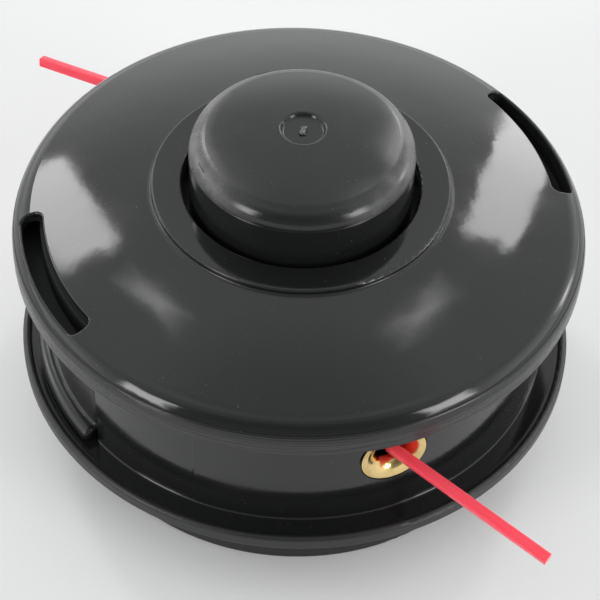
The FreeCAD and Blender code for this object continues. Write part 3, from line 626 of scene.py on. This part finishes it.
def soft_light(name, azimuth, elevation, width, height, power, lean=0.0, fade=0.06):
    """A rectangular light behind cloth that faces the head, with wavy borders that fade inwards."""
    light = bpy.data.lights.new(name, "AREA")
    light.shape = "RECTANGLE"
    light.size = width
    light.size_y = height
    light.energy = power
    light.use_nodes = True
    cloth = Nodes(light.node_tree)
    cloth.locate(cloth.node("ShaderNodeNewGeometry").outputs["Parametric"])
    borders = [cloth.x, cloth.y, cloth.calc("SUBTRACT", 1.0, cloth.x), cloth.calc("SUBTRACT", 1.0, cloth.y)]
    waves = cloth.calc("MULTIPLY", cloth.noise(scale=3.0, detail=1), CLOTH_WAVES)
    inwards = cloth.calc("SUBTRACT", cloth.joined("MINIMUM", borders), waves)
    strength = cloth.span(inwards, 0.0, fade)
    cloth.feed(light.node_tree.nodes["Emission"].inputs["Strength"], strength)
    holder = in_scene(name, light)
    in_photo_axes(holder, toward(azimuth, elevation), HEAD_MIDDLE)
    holder.matrix_world = holder.matrix_world @ Matrix.Rotation(math.radians(lean), 4, "Z")


def make_tent():
    """The white tent around the head: bright low down behind it, dim overhead and in front."""
    world = bpy.data.worlds.new("tent")
    world.use_nodes = True
    bpy.context.scene.world = world
    cloth = Nodes(world.node_tree)
    cloth.locate(cloth.node("ShaderNodeTexCoord").outputs["Generated"])
    behind = Matrix.Rotation(PHOTO_TURN, 3, "Z") @ Vector((0, 1, 0))
    low_gain = cloth.span(cloth.z, 0.15, 0.6, to_low=TENT_LOW_GAIN, to_high=0.0)
    roof = cloth.span(cloth.z, 0.9, 1.0, to_low=1.0, to_high=TENT_OVERHEAD)
    share = cloth.span(cloth.along(behind), -0.85, -0.1, to_low=TENT_FRONT)
    strength = cloth.calc("MULTIPLY", cloth.calc("ADD", low_gain, roof), share)
    background = world.node_tree.nodes["Background"]
    background.inputs["Color"].default_value = TENT_COLOUR
    cloth.feed(background.inputs["Strength"], strength)


def make_studio():
    """Pale board under the head in a white tent, with soft lights around it."""
    bpy.ops.mesh.primitive_plane_add(size=FLOOR_SIZE)
    floor = bpy.context.object
    floor.name = "floor"
    dress(floor, floor_finish())
    make_tent()
    soft_light("back_left_light", 127.5, 40, width=0.19, height=0.50, power=2.2, lean=-13)
    soft_light("back_right_light", 61.5, 34, width=0.16, height=0.70, power=2.4, lean=16)
    soft_light("upper_left_light", 129.5, 61, width=0.10, height=0.38, power=0.5, fade=0.5)
    soft_light("upper_right_light", 54, 63, width=0.12, height=0.38, power=0.5, fade=0.5)
    soft_light("side_left_light", 162, 14, width=0.40, height=0.45, power=5.4, fade=0.5)
    soft_light("side_right_light", 20, 14, width=0.40, height=0.45, power=5.0, fade=0.5)
    soft_light("front_left_light", -140, 21, width=0.50, height=0.75, power=9.0, fade=0.2)
    soft_light("front_right_light", -36, 21, width=0.50, height=0.75, power=9.0, fade=0.2)


def make_camera():
    """Camera at the photograph's angle."""
    data = bpy.data.cameras.new("photo_camera")
    data.lens = CAMERA_LENS_MM
    data.sensor_width = CAMERA_SENSOR_MM
    data.clip_start = CAMERA_CLIP_START
    camera = in_scene("photo_camera", data)
    back = Vector((0, -math.cos(CAMERA_ELEVATION), math.sin(CAMERA_ELEVATION))) * CAMERA_DISTANCE
    in_photo_axes(camera, VIEW_CENTRE + back, VIEW_CENTRE)
    camera.matrix_world = camera.matrix_world @ Matrix.Rotation(CAMERA_ROLL, 4, "Z")
    bpy.context.scene.camera = camera


# Finishes of the line, the steel pieces, the eyelets and the winding
line_material = line_finish()
plain_steel = steel_finish("plain_steel", bright=(0.62, 0.62, 0.63, 1.0), dark=(0.44, 0.44, 0.45, 1.0),
                           smooth=0.25, dull=0.42)
spring_steel = steel_finish("spring_steel", bright=(0.45, 0.45, 0.46, 1.0), dark=(0.30, 0.30, 0.31, 1.0),
                            smooth=0.28, dull=0.45)
brass = brass_finish()
winding = winding_finish()

# Solids that stay
for name, material in (
        ("cover", cover_finish()), ("housing", housing_finish()), ("bump_knob", knob_finish()),
        ("spool", spool_finish()), ("line_winding_lower", winding), ("line_winding_upper", winding),
        ("eyelet_front", brass), ("eyelet_rear", brass), ("nut_retaining_ring", plain_steel),
        ("spring_seat_washer", plain_steel), ("thrust_washer", plain_steel)):
    dress(nodes[name], material)

# Pieces that replace solids, and the torn stub
for node, route in LINE_ROUTES.items():
    make_line(node, route, line_material)
make_threaded_nut(plain_steel)
make_spring(spring_steel)
make_gate_nub(torn_finish())

# Studio and photograph's camera
make_studio()
make_camera()
bpy.context.scene.view_settings.view_transform = "Standard"
